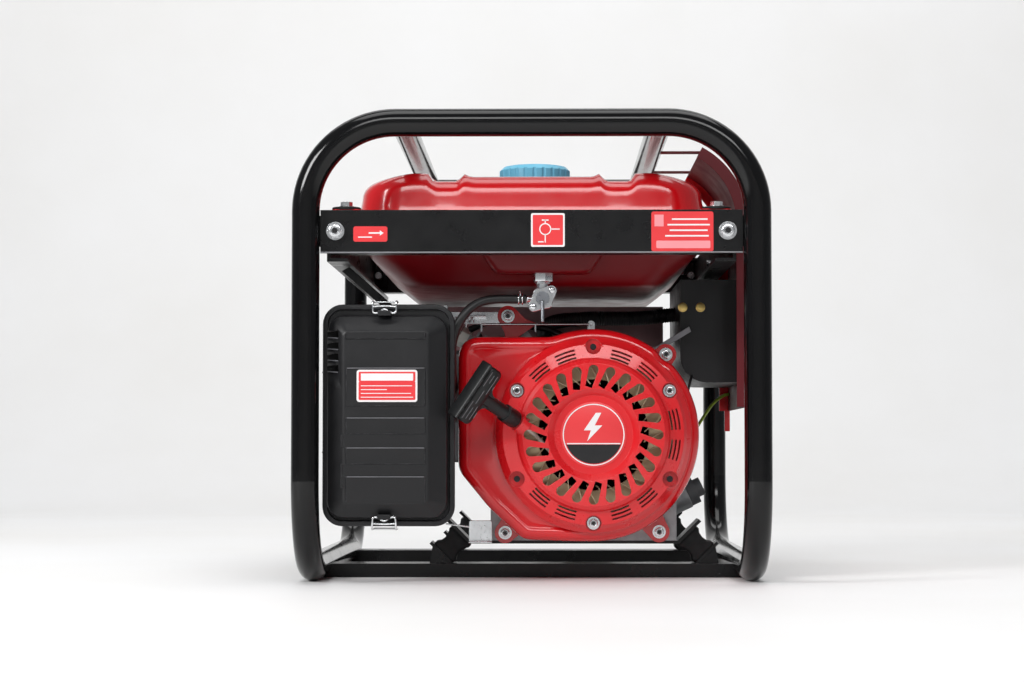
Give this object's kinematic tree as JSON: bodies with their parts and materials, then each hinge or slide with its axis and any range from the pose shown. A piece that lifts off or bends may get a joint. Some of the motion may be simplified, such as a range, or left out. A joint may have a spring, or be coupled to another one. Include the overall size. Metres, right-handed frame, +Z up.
{
  "type": "open-frame generator set",
  "caption": "Portable petrol generator set in an open tube frame: air-cooled engine with recoil starter, fuel tank above, alternator behind and socket panel on the right",
  "frame": {"origin": "on the floor, under the middle of the tube frame's bounding box", "axes": "+Y runs from the recoil starter to the rear of the set, the longest extent; +X is to the right seen from the starter end; +Z is up"},
  "size_m": [0.43, 0.59, 0.427],
  "materials": {
    "black_enamel": "semi-gloss black enamel over welded steel",
    "red_enamel": "gloss red enamel over pressed steel",
    "zinc_plate": "bright zinc plate",
    "cast_alloy": "as-cast aluminium, lightly grained",
    "ground_steel": "turned and ground steel",
    "wire_chrome": "bright spring wire",
    "black_rubber": "matt black moulded rubber",
    "black_plastic": "fine-grained black moulding",
    "grey_plastic": "dark grey moulding",
    "pale_plastic": "smooth pale moulding",
    "red_plastic": "smooth red moulding",
    "blue_plastic": "smooth light blue moulding",
    "khaki_plastic": "unpainted khaki moulding",
    "mesh_plastic": "off-white moulded strainer",
    "filter_foam": "open-cell oiled foam",
    "braided_cord": "braided white cord",
    "heated_steel": "heat-resistant grey paint, slightly browned",
    "cast_iron_black": "dark cast rim with machined hub",
    "copper_laminations": "varnished steel laminations with copper windings",
    "white_ceramic": "glazed white insulator"
  },
  "bodies": {
    "frame_and_engine": {"front_hoop": "black_enamel", "rear_hoop": "black_enamel", "top_rails": "black_enamel", "floor_crossbars": "black_enamel", "tank_rails": "black_enamel", "frame_bolts": "zinc_plate", "rubber_mounts": "black_rubber", "support_feet": "black_enamel", "tank_upper_shell": "red_enamel", "tank_lower_shell": "red_enamel", "tank_bolts": "zinc_plate", "filler_neck": "zinc_plate", "fuel_strainer": "mesh_plastic", "fuel_tap": "zinc_plate", "fuel_hose": "black_rubber", "crankcase": "cast_alloy", "crankcase_cover": "cast_alloy", "main_bearings": "ground_steel", "cylinder_head": "cast_alloy", "valve_cover": "ground_steel", "piston": "cast_alloy", "connecting_rod": "ground_steel", "fan_housing": "red_enamel", "recoil_cover": "red_enamel", "starter_rope": "braided_cord", "shroud_bolts": "zinc_plate", "spark_plug": "white_ceramic", "plug_cap": "black_rubber", "carburettor": "cast_alloy", "air_cleaner_case": "black_plastic", "filter_element": "filter_foam", "exhaust_pipe": "ground_steel", "muffler": "heated_steel", "muffler_shield": "heated_steel", "stator": "ground_steel", "end_bells": "cast_alloy", "alternator_cover": "black_enamel", "control_panel": "red_enamel", "control_box": "black_plastic", "outlet_sockets": "pale_plastic", "voltmeter": "pale_plastic", "wiring_loom": "black_rubber"},
    "crank": {"crankshaft": "ground_steel", "flywheel": "cast_iron_black", "cooling_fan": "khaki_plastic", "rotor": "copper_laminations"},
    "starter_reel": {"recoil_reel": "black_plastic"},
    "grip": {"pull_handle": "black_plastic"},
    "tap": {"tap_lever": "ground_steel"},
    "cap_seal": {"cap_gasket": "black_rubber"},
    "cap": {"fuel_cap": "blue_plastic"},
    "cleaner_lid": {"air_cleaner_cover": "black_plastic"},
    "clip_high": {"upper_clip": "wire_chrome"},
    "clip_low": {"lower_clip": "wire_chrome"},
    "choke": {"choke_lever": "black_plastic"},
    "governor": {"governor_arm": "zinc_plate"},
    "throttle_link": {"governor_link": "wire_chrome"},
    "dipstick": {"oil_dipstick": "grey_plastic"},
    "breaker": {"breaker_toggle": "black_plastic"},
    "rocker": {"engine_switch": "red_plastic"}
  },
  "joints": [
    {"name": "crank_spin", "type": "hinge", "parent": "frame_and_engine", "child": "crank", "pos_m": [0.0565, 0, 0.1345], "axis": [0, 1, 0], "continuous": true},
    {"name": "starter_pull", "type": "slide", "parent": "frame_and_engine", "child": "grip", "axis": [-0.6166, -0.6686, 0.4157], "range_m": [0, 0.33], "stiffness_N_per_m": 25, "springref_m": -0.4, "deforming": ["starter_rope"]},
    {"name": "reel_spin", "type": "hinge", "parent": "frame_and_engine", "child": "starter_reel", "pos_m": [0.0565, -0.225, 0.1345], "axis": [0, 1, 0], "range_deg": [0, 500]},
    {"name": "tap_turn", "type": "hinge", "parent": "frame_and_engine", "child": "tap", "pos_m": [0.01, -0.238, 0.259], "axis": [0, 1, 0], "range_deg": [-90, 0]},
    {"name": "cap_lift", "type": "slide", "parent": "frame_and_engine", "child": "cap_seal", "axis": [0, 0, 1], "range_m": [0, 0.045]},
    {"name": "cap_turn", "type": "hinge", "parent": "cap_seal", "child": "cap", "pos_m": [0.002, -0.05, 0.39], "axis": [0, 0, 1], "range_deg": [0, 90]},
    {"name": "lid_slide", "type": "slide", "parent": "frame_and_engine", "child": "cleaner_lid", "axis": [0, 1, 0], "range_m": [-0.07, 0]},
    {"name": "high_clip_turn", "type": "hinge", "parent": "cleaner_lid", "child": "clip_high", "pos_m": [-0.132, -0.2765, 0.2435], "axis": [1, 0, 0], "range_deg": [0, 100]},
    {"name": "low_clip_turn", "type": "hinge", "parent": "cleaner_lid", "child": "clip_low", "pos_m": [-0.132, -0.2765, 0.0605], "axis": [1, 0, 0], "range_deg": [-100, 0]},
    {"name": "choke_turn", "type": "hinge", "parent": "frame_and_engine", "child": "choke", "pos_m": [-0.1155, -0.182, 0.202], "axis": [1, 0, 0], "range_deg": [-55, 0]},
    {"name": "governor_swing", "type": "hinge", "parent": "frame_and_engine", "child": "governor", "pos_m": [0.056, -0.148, 0.224], "axis": [0, 1, 0], "range_deg": [-12, 12]},
    {"name": "link_slide", "type": "slide", "parent": "frame_and_engine", "child": "throttle_link", "axis": [1, 0, 0], "range_m": [-0.004, 0.004]},
    {"name": "dipstick_draw", "type": "slide", "parent": "frame_and_engine", "child": "dipstick", "axis": [0.9061, 0, 0.423], "range_m": [0, 0.045]},
    {"name": "breaker_flip", "type": "hinge", "parent": "frame_and_engine", "child": "breaker", "pos_m": [0.195, -0.005, 0.254], "axis": [0, 1, 0], "range_deg": [0, 45]},
    {"name": "rocker_tip", "type": "hinge", "parent": "frame_and_engine", "child": "rocker", "pos_m": [0.193, 0.032, 0.254], "axis": [0, 1, 0], "range_deg": [-10, 10]}
  ],
  "couplings": [
    {"joint": "reel_spin", "follows": "starter_pull", "rad_per_m": 26.316},
    {"joint": "link_slide", "follows": "governor_swing", "m_per_rad": 0.016}
  ]
}
